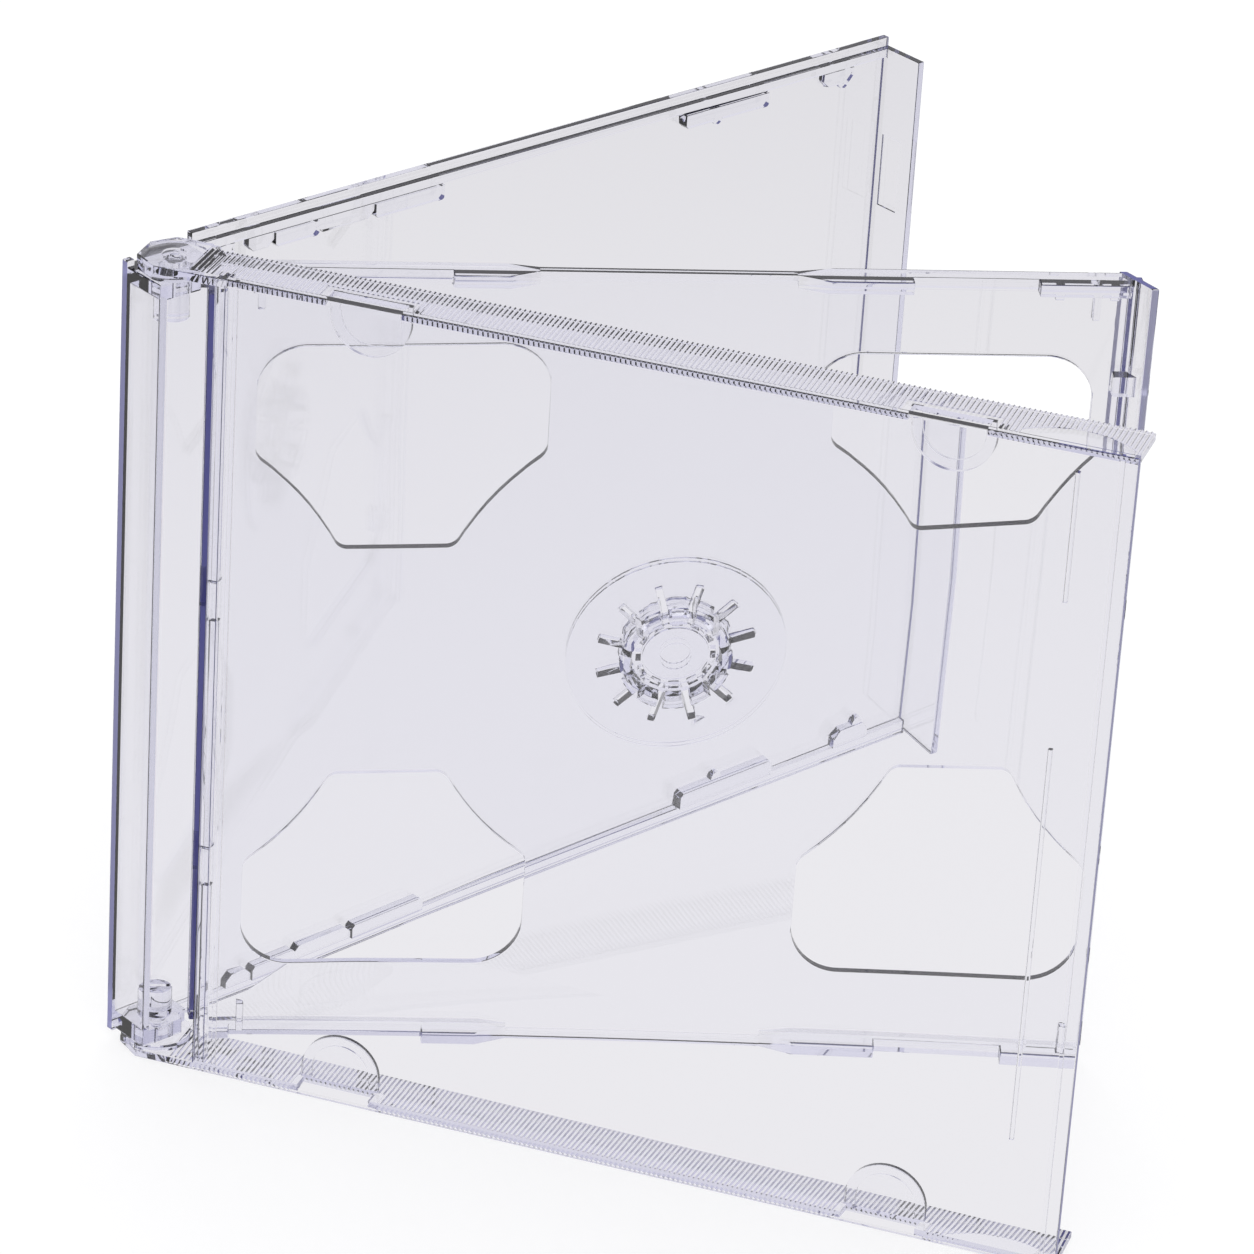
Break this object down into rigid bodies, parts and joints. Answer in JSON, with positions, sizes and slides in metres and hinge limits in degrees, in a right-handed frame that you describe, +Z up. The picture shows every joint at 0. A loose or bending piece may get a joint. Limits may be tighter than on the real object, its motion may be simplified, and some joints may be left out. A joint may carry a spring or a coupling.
{
  "type": "cd jewel case",
  "caption": "Clear hinged case for two discs: flat base with spine, swinging tray with a finger-grip hub on each face, and a ribbed lid.",
  "frame": {"origin": "middle of the footprint of the case as it stands open, on the surface it stands on", "axes": "+Z up along the spine, +X along the base from the spine to its free end, +Y out of the back of the base"},
  "size_m": [0.142, 0.1264, 0.125],
  "materials": {
    "clear_base": "clear polystyrene, polished",
    "clear_swing_tray": "clear polystyrene, polished",
    "clear_lid": "clear polystyrene, polished, fine cross ribs on the top and bottom flanges"
  },
  "bodies": {
    "base": {"base": "clear_base"},
    "lid": {"lid": "clear_lid"},
    "swing_tray": {"swing_tray": "clear_swing_tray"}
  },
  "joints": [
    {"name": "lid_hinge", "type": "hinge", "parent": "base", "child": "lid", "pos_m": [-0.066, 0.05802, 0], "axis": [0, 0, -1], "range_deg": [-60, 120]},
    {"name": "tray_hinge", "type": "hinge", "parent": "base", "child": "swing_tray", "pos_m": [-0.066, 0.05802, 0], "axis": [0, 0, -1], "range_deg": [-36, 72]}
  ],
  "couplings": [
    {"joint": "tray_hinge", "follows": "lid_hinge", "ratio": 0.6}
  ]
}
